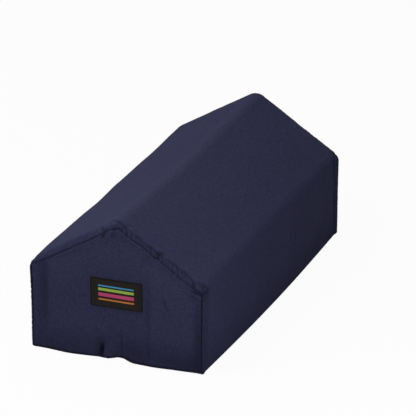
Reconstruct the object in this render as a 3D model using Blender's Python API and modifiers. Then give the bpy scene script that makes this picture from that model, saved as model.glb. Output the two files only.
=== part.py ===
"""Knee wedge pillow: a foam bolster in a sewn cloth cover, with a house-shaped section, lying on its base.

The frame is in metres. +X runs across the pillow, +Y along it and away from the labelled end, and +Z up.
The origin is at the middle of the base. Each panel that is sewn on is a solid of its own.
"""

import math
from typing import NamedTuple

import bmesh
import bpy
from mathutils import Vector

# Driving sizes
LENGTH = 0.445  # over the fullest points of both ends
HALF_WIDTH = 0.1085  # at the hems
HALF_WIDTH_HIGH = 0.1096  # at the shoulders, where the walls are fullest
SHOULDER_HEIGHT = 0.1097  # where a wall and a slope would meet
APEX_HEIGHT = 0.1792  # where the two slopes would meet without the ridge's rounding
APEX_X = 0.0015
SEAM_HALF_WIDTH = 0.1080
SEAM_SHOULDER_HEIGHT = 0.1015
SEAM_APEX_HEIGHT = 0.1688
SEAM_HEM_HEIGHT = 0.0010
LEFT_HEM_DRAWN_IN = 0.0015
RIGHT_SHOULDER_DROP = 0.0005

# Fullness of the filled cover
END_CROWN = 0.0046
FRONT_FULLNESS = 0.0056  # how far the labelled end stands out past its seam
BACK_FULLNESS = 0.0051
WALL_CROWN = 0.0012
SLOPE_CROWN = 0.0022
SEAM_CROWN = 0.0014  # how far a slope's seam bows out of line
END_SOFTNESS = 0.024  # how far in from its edges an end panel reaches its crown
SIDE_SOFTNESS = 0.026
WAIST = 0.009  # share of the width by which the walls draw in at mid-length
SADDLE = 0.0050  # how far the ridge has settled at mid-length
SADDLE_REACH = 0.045
SHOULDER_SETTLING = 0.0018

# How far the cover rolls over the edge of the foam before it meets the end panel's seam
SLOPE_ROLL = 0.0085
WALL_ROLL = 0.0024
HEM_ROLL = 0.0014
ROLL_STEPS = 4

# The allowance folded back inside the seam, which shows as a low band
BAND_REACH = 0.0115
BAND_EDGE = 0.0022
BAND_HEIGHT = 0.0008

# Sewn panels and label
PANEL_THICKNESS = 0.0020
PANEL_EDGE_ROUNDING = 0.0007
SEAM_GAP = 0.0003
POCKET_DEPTH = PANEL_THICKNESS + SEAM_GAP
LABEL_WIDTH = 0.065
LABEL_HEIGHT = 0.036
LABEL_THICKNESS = 0.0010
LABEL_CENTRE_X = 0.0027
LABEL_CENTRE_Z = 0.0870
LABEL_TILT = math.radians(1.2)
LABEL_COLUMNS = 13
LABEL_ROWS = 7

FRONT_LIP = -LENGTH / 2 + FRONT_FULLNESS
BACK_LIP = LENGTH / 2 - BACK_FULLNESS
LIP_LENGTH = BACK_LIP - FRONT_LIP

SIDE_COLUMNS = 20  # faces along each of the base, right wall, roof and left wall
WELD_DISTANCE = 1e-6
CREASE_ANGLE = math.radians(50)

NAVY = (0.026, 0.027, 0.056)
LABEL_BROWN = (0.018, 0.014, 0.012)


class Corner(NamedTuple):
    """Where two sides of a section would meet, and the radius that rounds them."""

    x: float
    z: float
    radius: float


SKIN_CORNERS = {
    "left_hem": Corner(-HALF_WIDTH + LEFT_HEM_DRAWN_IN, 0.0, 0.0022),
    "right_hem": Corner(HALF_WIDTH, 0.0, 0.0026),
    "right_shoulder": Corner(HALF_WIDTH_HIGH, SHOULDER_HEIGHT - RIGHT_SHOULDER_DROP, 0.018),
    "ridge": Corner(APEX_X, APEX_HEIGHT, 0.016),
    "left_shoulder": Corner(-HALF_WIDTH_HIGH, SHOULDER_HEIGHT, 0.022),
}
SEAM_CORNERS = {
    "left_hem": Corner(-SEAM_HALF_WIDTH + LEFT_HEM_DRAWN_IN, SEAM_HEM_HEIGHT, 0.0015),
    "right_hem": Corner(SEAM_HALF_WIDTH, SEAM_HEM_HEIGHT, 0.0018),
    "right_shoulder": Corner(SEAM_HALF_WIDTH, SEAM_SHOULDER_HEIGHT - RIGHT_SHOULDER_DROP, 0.0035),
    "ridge": Corner(APEX_X, SEAM_APEX_HEIGHT, 0.015),
    "left_shoulder": Corner(-SEAM_HALF_WIDTH, SEAM_SHOULDER_HEIGHT, 0.0035),
}
CORNER_ORDER = list(SKIN_CORNERS)


class Stretch(NamedTuple):
    """Part of a section's outline: some of a corner's arc, or the straight run that follows it."""

    corner: str
    kind: str
    begin: float
    end: float
    columns: int


# Once round the section, from the left hem: base, right wall, roof and left wall, with SIDE_COLUMNS each
STRETCHES = (
    Stretch("left_hem", "arc", 0.5, 1.0, 1),
    Stretch("left_hem", "run", 0.0, 1.0, 18),
    Stretch("right_hem", "arc", 0.0, 0.5, 1),
    Stretch("right_hem", "arc", 0.5, 1.0, 1),
    Stretch("right_hem", "run", 0.0, 1.0, 17),
    Stretch("right_shoulder", "arc", 0.0, 0.5, 2),
    Stretch("right_shoulder", "arc", 0.5, 1.0, 2),
    Stretch("right_shoulder", "run", 0.0, 1.0, 6),
    Stretch("ridge", "arc", 0.0, 1.0, 4),
    Stretch("ridge", "run", 0.0, 1.0, 6),
    Stretch("left_shoulder", "arc", 0.0, 0.5, 2),
    Stretch("left_shoulder", "arc", 0.5, 1.0, 2),
    Stretch("left_shoulder", "run", 0.0, 1.0, 17),
    Stretch("left_hem", "arc", 0.0, 0.5, 1),
)
ROUND_COLUMNS = 4 * SIDE_COLUMNS

RUN_CROWNS = {
    "left_hem": 0.0,
    "right_hem": WALL_CROWN,
    "right_shoulder": SLOPE_CROWN,
    "ridge": SLOPE_CROWN,
    "left_shoulder": WALL_CROWN,
}
SEAM_CROWNS = {
    "left_hem": 0.0,
    "right_hem": 0.0,
    "right_shoulder": SEAM_CROWN,
    "ridge": 0.5 * SEAM_CROWN,
    "left_shoulder": 0.0,
}

# Distances from a lip at which the skin has a row of points, up to mid-length
ROW_DISTANCES = (0.0103, 0.0137, 0.020, 0.029, 0.041, 0.058, 0.082, 0.112, 0.145, 0.180)


class Fold(NamedTuple):
    """A soft swell or crease of an end panel: its centre, its half sizes and how far it stands out."""

    x: float
    z: float
    half_width: float
    half_height: float
    out: float


FRONT_FOLDS = (
    Fold(-0.110, 0.000, 0.022, 0.050, 0.0044),
    Fold(-0.064, 0.002, 0.032, 0.032, 0.0046),
    Fold(0.043, 0.002, 0.025, 0.034, 0.0038),
    Fold(0.106, 0.000, 0.018, 0.024, -0.0018),
    Fold(-0.019, 0.0125, 0.0075, 0.010, -0.0030),
    Fold(-0.009, 0.000, 0.009, 0.012, 0.0030),
    Fold(0.005, -0.002, 0.009, 0.011, -0.0020),
    Fold(0.022, 0.000, 0.010, 0.016, 0.0014),
    Fold(0.037, 0.072, 0.011, 0.038, -0.0009),
    Fold(0.060, 0.070, 0.013, 0.036, 0.0009),
    Fold(-0.092, 0.066, 0.010, 0.036, -0.0011),
)
BACK_FOLDS = (
    Fold(0.058, 0.002, 0.036, 0.030, 0.0030),
    Fold(-0.050, 0.002, 0.032, 0.032, 0.0034),
    Fold(0.004, 0.070, 0.014, 0.040, -0.0008),
)
FOLD_REACH = 0.045  # how far from the lip the folds of an end panel carry into the sides

# The gather in the front hem, where the cloth is pinched clear of the surface
GATHER_X = 0.0015
GATHER_HALF_WIDTH = 0.014
GATHER_HALF_HEIGHT = 0.016
GATHER_LIFT = 0.0028
GATHER_DRAW = 0.55  # how much closer the base's points stand at the gather


def soft_edge(distance, softness):
    """0 at an edge, with no slope there, and 1 well away from it."""
    return 1.0 - math.exp(-((distance / softness) ** 2))


def smooth(share):
    """An S-curve from 0 to 1."""
    share = min(1.0, max(0.0, share))
    return share * share * (3.0 - 2.0 * share)


def neighbour(corner, steps):
    return CORNER_ORDER[(CORNER_ORDER.index(corner) + steps) % len(CORNER_ORDER)]


def heading(corners, corner):
    """The unit direction from a corner of a section to the next one, in (x, z)."""
    a, b = corners[corner], corners[neighbour(corner, 1)]
    return Vector((b.x - a.x, b.z - a.z)).normalized()


def arc_point(corners, corner, share):
    """The point and outward normal at this share of a corner's arc, in (x, z)."""
    came = heading(corners, neighbour(corner, -1))
    goes = heading(corners, corner)
    turn = math.atan2(came.cross(goes), came.dot(goes))
    at = corners[corner]
    start = Vector((at.x, at.z)) - came * at.radius * math.tan(turn / 2)
    first_normal = Vector((came.y, -came.x))
    centre = start - first_normal * at.radius
    angle = turn * share
    normal = Vector(
        (
            first_normal.x * math.cos(angle) - first_normal.y * math.sin(angle),
            first_normal.x * math.sin(angle) + first_normal.y * math.cos(angle),
        )
    )
    return centre + normal * at.radius, normal


def gathered(share):
    """Moves shares of the base's run so that the points stand closer at the gather."""
    middle = 0.5 + GATHER_X / (2 * HALF_WIDTH)
    wave = math.sin(math.tau * (share - middle)) + math.sin(math.tau * middle)
    return share - GATHER_DRAW * wave / math.tau


class Place(NamedTuple):
    """A place on a section's outline, its outward normal and the crown that it takes."""

    point: Vector
    normal: Vector
    crown: float


def outline(corners, crowns, position):
    """The Place at a position round a section, from 0 to ROUND_COLUMNS, where whole numbers are columns."""
    left = position % ROUND_COLUMNS
    for stretch in STRETCHES:
        if left <= stretch.columns:
            break
        left -= stretch.columns
    share = stretch.begin + (stretch.end - stretch.begin) * left / stretch.columns
    if stretch.kind == "arc":
        point, normal = arc_point(corners, stretch.corner, share)
        return Place(point, normal, 0.0)
    begin, normal = arc_point(corners, stretch.corner, 1.0)
    end, _ = arc_point(corners, neighbour(stretch.corner, 1), 0.0)
    if stretch.corner == "left_hem":
        share = gathered(share)
    length = (end - begin).length
    fullness = soft_edge(share * length, SIDE_SOFTNESS) * soft_edge((1 - share) * length, SIDE_SOFTNESS)
    return Place(begin.lerp(end, share), normal, crowns[stretch.corner] * fullness)


def skin_outline(position):
    return outline(SKIN_CORNERS, RUN_CROWNS, position)


def seam_outline(position, inset):
    """(x, z) of the seam round an end panel, or of a line this far inside it."""
    place = outline(SEAM_CORNERS, SEAM_CROWNS, position)
    return place.point + place.normal * (place.crown - inset)


def roll_at(normal):
    """How far the cover rolls over the foam's edge there: most on the slopes, least at the hem."""
    if normal.y > 0:
        slope_normal = math.cos(math.atan2(APEX_HEIGHT - SHOULDER_HEIGHT, HALF_WIDTH_HIGH))
        return WALL_ROLL + (SLOPE_ROLL - WALL_ROLL) * smooth(normal.y / slope_normal)
    return WALL_ROLL + (HEM_ROLL - WALL_ROLL) * smooth(-normal.y)


def folds_at(x, z, folds):
    """How far the folds in a table push an end panel out at (x, z)."""
    return sum(
        f.out * math.exp(-(((x - f.x) / f.half_width) ** 2) - ((z - f.z) / f.half_height) ** 2)
        for f in folds
    )


def end_crown(x, z):
    """The fullness of an end panel: nothing at its five edges and END_CROWN well inside them."""
    fullness = 1.0
    for name, at in SEAM_CORNERS.items():
        inside = heading(SEAM_CORNERS, name).cross(Vector((x - at.x, z - at.z)))
        fullness *= soft_edge(max(0.0, inside), END_SOFTNESS)
    return END_CROWN * fullness


def hem_lift(x, z):
    """How far the gather lifts the cloth at the front."""
    across = ((x - GATHER_X) / GATHER_HALF_WIDTH) ** 2
    up = (z / GATHER_HALF_HEIGHT) ** 2
    return GATHER_LIFT * math.exp(-across - up)


def settled(x, y, z):
    """Draws the walls in and lets the ridge and shoulders down towards mid-length."""
    bow = math.sin(math.pi * min(1.0, max(0.0, (y - FRONT_LIP) / LIP_LENGTH)))
    down = SHOULDER_SETTLING + SADDLE * math.exp(-((x / SADDLE_REACH) ** 2))
    return Vector((x * (1 - WAIST * bow), y, z - down * bow * (z / APEX_HEIGHT) ** 2))


def front_point(flat, depth):
    """The point that lies at (x, z) flat on the front end, or this far behind it."""
    fade = 1.0 - smooth(depth / FOLD_REACH)
    out = end_crown(flat.x, flat.y) + folds_at(flat.x, flat.y, FRONT_FOLDS)
    return settled(flat.x, FRONT_LIP + depth - out * fade, flat.y + hem_lift(flat.x, flat.y) * fade)


def back_point(flat, depth):
    """The point that lies at (x, z) flat on the back end, or this far in front of it."""
    fade = 1.0 - smooth(depth / FOLD_REACH)
    out = end_crown(flat.x, flat.y) + folds_at(flat.x, flat.y, BACK_FOLDS)
    return settled(flat.x, BACK_LIP - depth + out * fade, flat.y)


def band_at(distance):
    """The low band of the seam allowance: full beside the seam and gone past BAND_REACH."""
    return BAND_HEIGHT * (1.0 - smooth((distance - BAND_REACH + BAND_EDGE) / (2 * BAND_EDGE)))


def skin_point(position, distance, turned, end_point):
    """A point of the filled skin at a position round the section and a distance from a lip.

    turned is the share by which the skin has rolled in from the section's outline towards the seam.
    """
    place = skin_outline(position)
    full = place.crown
    for inside in (distance, LIP_LENGTH - distance):
        full *= soft_edge(max(0.0, inside - POCKET_DEPTH), SIDE_SOFTNESS)
    full += band_at(distance) * (1.0 - turned) * (1.0 - smooth(-place.normal.y))
    flat = place.point + place.normal * full
    return end_point(flat.lerp(seam_outline(position, 0.0), turned), distance)


def rows_from_lip(position):
    """(distance, turned) of each row of skin points, from the floor of the pocket to near mid-length."""
    roll = roll_at(skin_outline(position).normal)
    rows = [(POCKET_DEPTH, 1.0)]
    for step in range(ROLL_STEPS + 1):
        angle = math.pi / 2 * step / ROLL_STEPS
        rows.append((roll * (1 - math.cos(angle)), 1 - math.sin(angle)))
    return rows + [(distance, 0.0) for distance in ROW_DISTANCES]


def ring_position(i, j):
    """For column i and row j of a square grid: the position round the section, and how far out its ring lies."""
    across = 2 * i / SIDE_COLUMNS - 1
    up = 2 * j / SIDE_COLUMNS - 1
    ring = max(abs(across), abs(up))
    if ring == 0:
        return 0.0, 0.0
    if -up == ring:
        side, share = 0, (across / ring + 1) / 2
    elif across == ring:
        side, share = 1, (up / ring + 1) / 2
    elif up == ring:
        side, share = 2, (1 - across / ring) / 2
    else:
        side, share = 3, (1 - up / ring) / 2
    return (side + share) * SIDE_COLUMNS, ring


PANEL_HEART = Vector((0.0, 0.44 * APEX_HEIGHT))
RING_DRAW = 1.3  # rings stand closer together towards the seam


def panel_place(i, j, inset):
    """(x, z) of a point of an end panel, whose rim lies this far inside the seam."""
    position, ring = ring_position(i, j)
    return PANEL_HEART.lerp(seam_outline(position, inset), 1.0 - (1.0 - ring) ** RING_DRAW)


def add_grid(mesh, columns, rows, place):
    """Adds a grid of faces and moves the point in column i and row j to place(i, j)."""
    made = bmesh.ops.create_grid(mesh, x_segments=columns, y_segments=rows, size=0.5)
    for vertex in made["verts"]:
        i = round((vertex.co.x + 0.5) * columns)
        j = round((vertex.co.y + 0.5) * rows)
        vertex.co = place(i, j)


def finish_object(mesh, name, collection, material):
    """Welds the grids of a bmesh and makes an object of it, smooth but for its seams and edges."""
    bmesh.ops.remove_doubles(mesh, verts=mesh.verts, dist=WELD_DISTANCE)
    bmesh.ops.recalc_face_normals(mesh, faces=mesh.faces)
    data = bpy.data.meshes.new(name)
    mesh.to_mesh(data)
    mesh.free()
    data.shade_smooth()
    data.set_sharp_from_angle(angle=CREASE_ANGLE)
    data.materials.append(material)
    made = bpy.data.objects.new(name, data)
    collection.objects.link(made)
    return made


def make_cushion(collection, material):
    """The filled skin: walls, slopes and base in one, with a shallow pocket for the panel at each end."""
    half = 2 + ROLL_STEPS + len(ROW_DISTANCES)
    rows = 2 * half
    from_lip = [rows_from_lip(position) for position in range(ROUND_COLUMNS)]

    def skin(i, j):
        position = i % ROUND_COLUMNS
        if j == half:
            return skin_point(position, LIP_LENGTH / 2, 0.0, front_point)
        distance, turned = from_lip[position][min(j, rows - j)]
        return skin_point(position, distance, turned, front_point if j < half else back_point)

    mesh = bmesh.new()
    add_grid(mesh, ROUND_COLUMNS, rows, skin)
    for point in (front_point, back_point):
        add_grid(mesh, SIDE_COLUMNS, SIDE_COLUMNS, lambda i, j: point(panel_place(i, j, 0.0), POCKET_DEPTH))
    return finish_object(mesh, "filled_cushion", collection, material)


def make_end_panel(collection, material, name, point):
    """A sewn end panel: a sheet that sits in its pocket, with its outer edge rounded towards the seam."""
    edge_inset = SEAM_GAP + PANEL_EDGE_ROUNDING
    mesh = bmesh.new()
    for inset, depth in ((edge_inset, 0.0), (SEAM_GAP, PANEL_THICKNESS)):
        add_grid(mesh, SIDE_COLUMNS, SIDE_COLUMNS, lambda i, j: point(panel_place(i, j, inset), depth))
    edge_rows = (
        (edge_inset, 0.0),
        (SEAM_GAP, PANEL_EDGE_ROUNDING),
        (SEAM_GAP, PANEL_THICKNESS),
    )

    def edge(i, j):
        inset, depth = edge_rows[j]
        return point(seam_outline(i, inset), depth)

    add_grid(mesh, ROUND_COLUMNS, len(edge_rows) - 1, edge)
    return finish_object(mesh, name, collection, material)


def make_label(collection, material):
    """The woven label: a small rectangular sheet that follows the front panel, thickened outwards."""

    def spot(i, j):
        along = (i / LABEL_COLUMNS - 0.5) * LABEL_WIDTH
        up = (j / LABEL_ROWS - 0.5) * LABEL_HEIGHT
        x = LABEL_CENTRE_X + along * math.cos(LABEL_TILT) - up * math.sin(LABEL_TILT)
        z = LABEL_CENTRE_Z + along * math.sin(LABEL_TILT) + up * math.cos(LABEL_TILT)
        return front_point(Vector((x, z)), -SEAM_GAP)

    mesh = bmesh.new()
    add_grid(mesh, LABEL_COLUMNS, LABEL_ROWS, spot)
    label = finish_object(mesh, "woven_label", collection, material)
    facing = label.data.polygons[0].normal.y
    thick = label.modifiers.new("thickness", "SOLIDIFY")
    thick.thickness = LABEL_THICKNESS
    thick.offset = 1.0 if facing < 0 else -1.0
    return label


def make_material(name, colour, roughness):
    material = bpy.data.materials.new(name)
    material.use_nodes = True
    shader = material.node_tree.nodes["Principled BSDF"]
    shader.inputs["Base Color"].default_value = (*colour, 1.0)
    shader.inputs["Roughness"].default_value = roughness
    shader.inputs["Metallic"].default_value = 0.0
    material.diffuse_color = (*colour, 1.0)
    return material


def main():
    for old in list(bpy.data.objects):
        bpy.data.objects.remove(old)
    collection = bpy.data.collections.new("knee_wedge_pillow")
    bpy.context.scene.collection.children.link(collection)
    navy_cloth = make_material("navy_cloth", NAVY, 0.85)
    label_weave = make_material("label_weave", LABEL_BROWN, 0.7)
    make_cushion(collection, navy_cloth)
    make_end_panel(collection, navy_cloth, "front_end_panel", front_point)
    make_end_panel(collection, navy_cloth, "back_end_panel", back_point)
    make_label(collection, label_weave)


main()
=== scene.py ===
"""Looks of the knee wedge pillow: its sewn navy cover, its woven label, and a plain studio round them.

The frame is the CAD model's, in metres: +X across, +Y away from the labelled end, +Z up, and the origin
under the middle.
"""

import math

import bpy
import numpy as np
from mathutils import Matrix, Vector


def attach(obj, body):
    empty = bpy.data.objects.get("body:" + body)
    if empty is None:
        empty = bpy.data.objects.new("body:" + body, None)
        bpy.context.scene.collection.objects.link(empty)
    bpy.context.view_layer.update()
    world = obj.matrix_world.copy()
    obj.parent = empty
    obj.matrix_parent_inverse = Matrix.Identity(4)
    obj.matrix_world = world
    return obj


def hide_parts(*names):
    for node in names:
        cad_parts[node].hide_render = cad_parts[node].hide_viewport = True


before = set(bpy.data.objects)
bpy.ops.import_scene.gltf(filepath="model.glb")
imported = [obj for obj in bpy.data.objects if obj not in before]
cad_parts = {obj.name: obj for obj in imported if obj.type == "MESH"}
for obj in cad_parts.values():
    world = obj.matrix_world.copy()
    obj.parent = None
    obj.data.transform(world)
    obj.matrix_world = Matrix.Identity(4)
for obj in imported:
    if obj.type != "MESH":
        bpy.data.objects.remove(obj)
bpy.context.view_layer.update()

# Sizes of the pillow. They are the solids' own, but for some corners, a crown, the hems and one fold of the
# front panel, which follow the photograph's lines more closely
LENGTH = 0.445
FRONT_SETBACK, BACK_SETBACK = 0.0056, 0.0051  # from each end of that length to the lip of its seam
FRONT_LIP = -LENGTH / 2 + FRONT_SETBACK
BACK_LIP = LENGTH / 2 - BACK_SETBACK
LIP_LENGTH = BACK_LIP - FRONT_LIP
APEX_HEIGHT = 0.1792
SLOPE_TILT = math.radians(32.4)
# Corners in order: left hem, right hem, right shoulder, ridge, left shoulder. Columns: x, z and rounding
# radius, first of the skin and then of the seam round an end panel
SKIN_CORNERS = np.array([
    [-0.1060, 0.0, 0.0022],
    [0.1085, 0.0, 0.0026],
    [0.1096, 0.1092, 0.018],
    [0.0015, 0.1792, 0.016],
    [-0.1107, 0.1097, 0.022],
])
SEAM_CORNERS = np.array([
    [-0.1055, 0.0010, 0.0015],
    [0.1080, 0.0010, 0.0018],
    [0.1080, 0.0994, 0.0035],
    [0.0015, 0.1688, 0.015],
    [-0.1090, 0.1015, 0.0035],
])
# Crown of each side that follows a corner, on the skin and on the seam
SKIN_CROWNS = (0.0, 0.0012, 0.0022, 0.0022, 0.0012)
SEAM_CROWNS = (0.0, 0.0, 0.0014, -0.0012, 0.0)
SIDE_SOFTNESS = 0.026  # over which a side's crown comes in from its ends
CROWN_START = 0.0023  # how far behind a seam the sides' crowns begin
END_CROWN, END_SOFTNESS = 0.0046, 0.024
# Forms that grow as a half sine towards mid-length
WAIST = 0.009  # share by which the walls draw in
SADDLE, SADDLE_REACH = 0.0050, 0.045  # how far the ridge settles, and how wide
SHOULDER_SETTLING = 0.0018
HEM_SPREAD, HEM_SPREAD_HEIGHT = 0.0052, 0.045  # how far the walls' feet spread, and how high that reaches
HEM_SPREAD_FROM, HEM_SPREAD_OVER = 0.020, 0.080  # where on the base that begins, and over what width
SLOPE_ROLL, WALL_ROLL, HEM_ROLL = 0.0085, 0.0024, 0.0014  # reach of the cover's roll over the foam's edge
FOLD_REACH = 0.045  # how far behind an end its folds fade out

# Folds of the end panels. Columns: x, z, half width, half height and how far each stands out
FRONT_FOLDS = np.array([
    [-0.110, 0.000, 0.022, 0.050, 0.0044],
    [-0.064, 0.002, 0.032, 0.032, 0.0046],
    [0.043, 0.002, 0.025, 0.034, 0.0038],
    [0.106, 0.000, 0.018, 0.024, -0.0018],
    [-0.019, 0.0125, 0.0075, 0.010, -0.0030],
    [-0.009, 0.000, 0.009, 0.012, 0.0030],
    [0.005, -0.002, 0.009, 0.011, -0.0020],
    [0.022, 0.000, 0.010, 0.016, 0.0014],
    [0.037, 0.072, 0.011, 0.038, -0.0009],
    [0.060, 0.070, 0.013, 0.036, 0.0009],
    [-0.092, 0.066, 0.010, 0.036, -0.0011],
    [-0.052, 0.000, 0.046, 0.032, 0.0026],
])
BACK_FOLDS = np.array([
    [0.058, 0.002, 0.036, 0.030, 0.0030],
    [-0.050, 0.002, 0.032, 0.032, 0.0034],
    [0.004, 0.070, 0.014, 0.040, -0.0008],
])
GATHER_X, GATHER_HALF_WIDTH, GATHER_HALF_HEIGHT, GATHER_LIFT = 0.0015, 0.014, 0.016, 0.0028

# Fineness of the cover's surface
ACROSS_COLUMNS, UP_COLUMNS = 208, 80  # columns of the base and of the two slopes together, and of each wall
ROUND_COLUMNS = 2 * (ACROSS_COLUMNS + UP_COLUMNS)
HEM_COLUMNS, SHOULDER_COLUMNS, RIDGE_COLUMNS = 2, 6, 10  # half a hem's arc, half a shoulder's, the ridge's
BASE_COLUMNS = ACROSS_COLUMNS - 2 * HEM_COLUMNS
WALL_COLUMNS = UP_COLUMNS - HEM_COLUMNS - SHOULDER_COLUMNS
SLOPE_COLUMNS = (ACROSS_COLUMNS - RIDGE_COLUMNS) // 2 - SHOULDER_COLUMNS
HALF_ROWS = 56
ROW_START, ROW_POWER = 0.15, 2.6  # share of even spacing in the rows, and how the rest crowds to the seams
# Round the section. Columns: corner, arc or run, first and last share, and how many columns it has
STRETCHES = (
    (0, "arc", 0.5, 1.0, HEM_COLUMNS),
    (0, "run", 0.0, 1.0, BASE_COLUMNS),
    (1, "arc", 0.0, 0.5, HEM_COLUMNS),
    (1, "arc", 0.5, 1.0, HEM_COLUMNS),
    (1, "run", 0.0, 1.0, WALL_COLUMNS),
    (2, "arc", 0.0, 0.5, SHOULDER_COLUMNS),
    (2, "arc", 0.5, 1.0, SHOULDER_COLUMNS),
    (2, "run", 0.0, 1.0, SLOPE_COLUMNS),
    (3, "arc", 0.0, 1.0, RIDGE_COLUMNS),
    (3, "run", 0.0, 1.0, SLOPE_COLUMNS),
    (4, "arc", 0.0, 0.5, SHOULDER_COLUMNS),
    (4, "arc", 0.5, 1.0, SHOULDER_COLUMNS),
    (4, "run", 0.0, 1.0, WALL_COLUMNS),
    (0, "arc", 0.0, 0.5, HEM_COLUMNS),
)
# Where the rings of an end panel draw together, and how strongly they crowd towards its seam
PANEL_HEART = np.array([0.0, 0.44 * APEX_HEIGHT])
RING_DRAW = 1.3

# The seams. Of a pair, the first value holds on the walls and the base, and the second on the slopes
SEAM_WANDER = (0.00014, 0.000665)
VALLEY_DEPTH, VALLEY_REACH = (0.0027, 0.0013), (0.00132, 0.000825)
VALLEY_LEAST = 0.35  # share of its depth that the valley keeps where nothing gathers it
VALLEY_UNEVENNESS = (0.3, 0.5)  # in any seam, and what the strongest puckers add
# The low band of the seam allowance behind the seam, and the soft line along its far edge
BAND_HEIGHT, BAND_UNEVENNESS = (0.0009, 0.000315), (0.06, 0.20)
BAND_START, BAND_EDGE = 0.0025, 0.0012
LINE_DEPTH, LINE_LEAST, LINE_OFFSET = 0.0010, 0.05, 0.0002
LINE_REACH = (0.0011, 0.0019)
LINE_UNEVENNESS, LINE_SHARES = 0.9, (0.15, 1.6)  # how much the line varies, and its least and most share
# The slanting puckers across the band
PUCKER_PITCH, PUCKER_HEIGHT, PUCKER_WANDER, PUCKER_SLANT = 0.0062, 0.00110, 3.6, 1.3
CROSSING_SHARE, CROSSING_PITCH = 0.8, 0.83  # the second row of puckers, which slants the other way
PUCKER_LEVEL, PUCKER_UNEVENNESS, PUCKER_PATCHES = 0.30, 0.5, 0.6
PUCKER_OVERRUN, PUCKER_FULLNESS = 1.15, 0.8  # width beside the band's, and the power that flattens its arch
INTO_PANEL, INTO_PANEL_START, INTO_PANEL_REACH = 0.5, 0.0015, 0.0050
INTO_SKIN, INTO_SKIN_REACH = 0.3, 0.006
BACK_OFFSET, BACK_EASING = 0.61, 0.6  # how far the back seam's noise is moved, and what its puckers lose
# Painted shade on the band, on its line and beside the left seam, and a painted highlight along the crest:
# how much darker or paler each makes the cloth
BAND_SHADE, LINE_SHADE, LEFT_SHADE, CREST_HIGHLIGHT = 0.22, 0.19, 0.14, 0.20
# How much more of the seams' painted shade shows on the walls, and how patchy it is on the band
WALL_SHADE, BAND_SHADE_PATCHINESS = 1.7, 0.4
CREST_WAY, CREST_REACH, CREST_FROM, CREST_OVER = 0.4495, 0.009, 0.008, 0.010
LEFT_REACH, LEFT_FROM, LEFT_OVER = 0.010, 0.022, 0.030  # from the seam, and round from the crest
# Where the band lies flat over the ridge with a painted highlight in place of its painted shade, how far that
# reaches, how much flatter it lies and how strong the highlight is
BARE_WAY, BARE_REACH, BARE_EASING, BARE_HIGHLIGHT = 0.4555, 0.0085, 0.35, 0.12
# How far the cloth stands out, as its material reads it to paint a highlight on raised cloth and shade in its
# hollows: the value of even cloth, the height that makes a whole share, and the most over even
EVEN, PROUD_SCALE, PROUD_LIMIT = 0.5, 0.0034, 0.10
QUIET_REACH = 0.012  # distance over which slack and swells grow from a seam
BASE_LEVEL, BASE_BLEND, BASE_FROM, BASE_OVER = 0.004, 0.003, 0.004, 0.006  # where relief dies out on the base
# Random unevenness: points of its lattice each way, how many cells it is moved by, and then the cell and
# the seed of each noise
NOISE_POINTS, NOISE_OFFSETS = 64, (31.3, 17.7)
NOISES = {
    "seam": (0.008, 21),
    "band": (0.011, 5),
    "valley": (0.006, 6),
    "pucker_phase": (0.013, 7),
    "pucker": (0.0028, 8),
    "line": (0.0075, 9),
    "patches": (0.009, 10),
}
# Slow swells over the foam. Columns: cell, seed and height
SKIN_SWELLS = ((0.060, 11, 0.0006), (0.027, 12, 0.00030))
PANEL_SWELLS = ((0.045, 13, 0.0005), (0.021, 14, 0.00025))
SWELL_AT_SEAM = 0.25
# Way round from the left hem, and how wide the seam allowance's band is there
BAND_REACH = (
    (0.000, 0.205, 0.225, 0.290, 0.301, 0.316, 0.324, 0.332, 0.375,
     0.390, 0.415, 0.440, 0.453, 0.475, 0.560, 0.585, 0.680),
    (0.006, 0.006, 0.013, 0.014, 0.018, 0.0186, 0.0125, 0.0096, 0.0090,
     0.0066, 0.0068, 0.0078, 0.0080, 0.0058, 0.0056, 0.0100, 0.0100),
)
# Way round from the left hem, and how strongly the seam puckers there
SEAM_STRENGTH = (
    (0.000, 0.205, 0.220, 0.290, 0.312, 0.325, 0.440, 0.452, 0.462, 0.560, 0.580, 0.680, 0.690),
    (0.30, 0.30, 0.45, 0.45, 0.90, 1.00, 1.00, 0.90, 0.30, 0.22, 0.30, 0.30, 0.30),
)
# Tucks of the skin. Columns: way round, distance from the seam, half width, half reach, lean and height
SKIN_TUCKS = np.array([
    [0.3882, 0.0058, 0.0017, 0.0075, -0.52, -0.0031],
    [0.3846, 0.0118, 0.0032, 0.0017, 0.00, -0.0014],
    [0.3930, 0.0080, 0.0026, 0.0065, -0.50, 0.0012],
    [0.3805, 0.0065, 0.0026, 0.0050, -0.50, 0.0010],
    [0.3300, 0.0012, 0.0085, 0.0020, 0.00, -0.0024],
    [0.3385, 0.0042, 0.0020, 0.0036, -0.60, -0.0028],
    [0.3330, 0.0075, 0.0030, 0.0050, -0.30, 0.0010],
    [0.3165, 0.0055, 0.0014, 0.0060, -0.45, -0.0028],
    [0.3090, 0.0110, 0.0030, 0.0060, 0.00, 0.0007],
    [0.4455, 0.0030, 0.0012, 0.0040, 0.25, -0.0018],
    [0.4490, 0.0018, 0.0026, 0.0016, 0.00, -0.0008],
    [0.4520, 0.0045, 0.0014, 0.0030, 0.20, 0.0012],
    [0.4550, 0.0035, 0.0014, 0.0040, 0.45, -0.0018],
    [0.4600, 0.0016, 0.0040, 0.0014, 0.00, -0.0007],
    [0.4630, 0.0055, 0.0020, 0.0060, 0.60, 0.0012],
    [0.4685, 0.0045, 0.0014, 0.0055, 0.90, -0.0013],
    [0.4740, 0.0065, 0.0020, 0.0070, 0.70, 0.0009],
    [0.4600, 0.0150, 0.0060, 0.0090, 0.50, 0.0010],
    [0.4300, 0.0110, 0.0025, 0.0070, -0.60, 0.0008],
    [0.4360, 0.0090, 0.0018, 0.0060, -0.60, -0.0008],
])
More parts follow.
